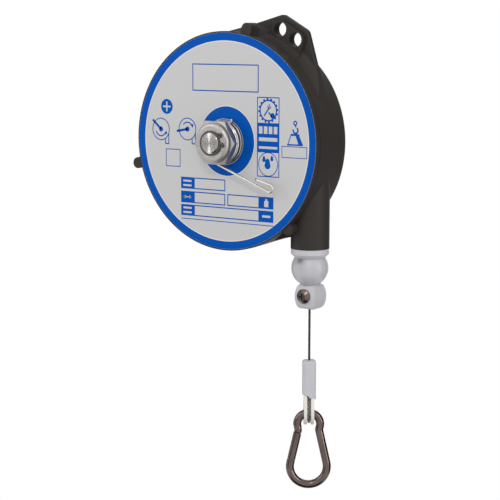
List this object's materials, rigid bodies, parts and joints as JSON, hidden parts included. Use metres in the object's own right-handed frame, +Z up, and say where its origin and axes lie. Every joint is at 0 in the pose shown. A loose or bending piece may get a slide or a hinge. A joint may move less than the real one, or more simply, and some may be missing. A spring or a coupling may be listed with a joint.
{
  "type": "spring balancer",
  "caption": "Round spring balancer with a suspension lug, an adjusting hub with release tail, and a wire rope paying out to a stop ball and snap hook.",
  "frame": {"origin": "centre of the suspension hole in the lug, half way through the lug's plate", "axes": "+Z up, +Y along the suspension hole into the housing's back, +X to the right seen from the label"},
  "size_m": [0.1916, 0.0724, 0.4019],
  "materials": {
    "housing_coat": "matte anthracite powder coat on die-cast aluminium",
    "label_print": "printed grey aluminium plate with blue ring",
    "black_rubber": "matt black",
    "zinc_steel": "zinc plated",
    "stainless": "turned stainless steel",
    "spring_steel": "bright drawn spring wire",
    "bronze": "sintered bronze",
    "pale_plastic": "pale lilac-grey moulded polyamide",
    "cream_plastic": "cream moulded plastic",
    "drum_alloy": "as cast and turned",
    "rope_steel": "stranded steel wire, oiled",
    "blue_spring": "blued spring strip, greased",
    "ferrule_metal": "crimped",
    "hook_steel": "polished dark stainless steel"
  },
  "bodies": {
    "housing": {"housing_shell": "housing_coat", "front_cover": "housing_coat", "label_plate": "label_print", "cover_gasket": "black_rubber", "cover_screws": "zinc_steel", "cover_dowel": "zinc_steel", "rope_guide": "pale_plastic", "clutch_collar": "stainless", "front_bush": "bronze", "rear_bush": "bronze"},
    "arbor": {"main_shaft": "stainless", "adjusting_hub": "stainless", "hub_key": "stainless", "front_washer": "stainless", "spring_clip": "spring_steel", "thrust_rings": "bronze"},
    "release": {"wrap_spring": "spring_steel"},
    "drum": {"cable_drum": "drum_alloy", "drum_lid": "drum_alloy", "drum_lid_screws": "zinc_steel", "drum_bushes": "bronze", "cable_winding": "rope_steel", "power_spring": "blue_spring", "spring_anchor_pin": "zinc_steel"},
    "load": {"rope_payout": "rope_steel", "wire_rope": "rope_steel", "stop_ball": "pale_plastic", "clamp_block": "pale_plastic", "clamp_insert": "bronze", "clamp_pad": "bronze", "clamp_screw": "stainless", "ferrule_sleeve": "pale_plastic", "rope_ferrule": "ferrule_metal", "thimble": "cream_plastic", "rope_eye": "rope_steel"},
    "hook": {"hook_body": "hook_steel", "gate_pin": "hook_steel"},
    "gate": {"hook_gate": "hook_steel", "gate_spring": "spring_steel"}
  },
  "joints": [
    {"name": "preload_adjust", "type": "hinge", "parent": "housing", "child": "arbor", "pos_m": [-0.05771, -0.024, -0.08563], "axis": [0, -1, 0], "range_deg": [-1080, 1080]},
    {"name": "clutch_release", "type": "hinge", "parent": "housing", "child": "release", "pos_m": [-0.05771, -0.024, -0.08563], "axis": [0, 1, 0], "range_deg": [0, 14], "stiffness_Nm_per_rad": 0.3, "springref_deg": -2.86},
    {"name": "drum_spin", "type": "hinge", "parent": "housing", "child": "drum", "pos_m": [-0.05771, -0.024, -0.08563], "axis": [0, 1, 0], "range_deg": [0, 1264], "stiffness_Nm_per_rad": 0.0079, "springref_deg": -8708.96},
    {"name": "rope_payout", "type": "slide", "parent": "housing", "child": "load", "axis": [0, 0, -1], "range_m": [0, 1.6], "deforming": ["rope_payout"]},
    {"name": "hook_swing", "type": "hinge", "parent": "load", "child": "hook", "pos_m": [0.01279, 0.001, -0.31523], "axis": [0.8241, 0.5664, 0], "range_deg": [-60, 60]},
    {"name": "gate_open", "type": "hinge", "parent": "hook", "child": "gate", "pos_m": [0.00539, -0.00409, -0.33035], "axis": [0.5664, -0.8241, 0], "range_deg": [0, 24], "stiffness_Nm_per_rad": 0.05, "springref_deg": -28.65}
  ],
  "couplings": [
    {"joint": "rope_payout", "follows": "drum_spin", "m_per_rad": 0.0725}
  ]
}
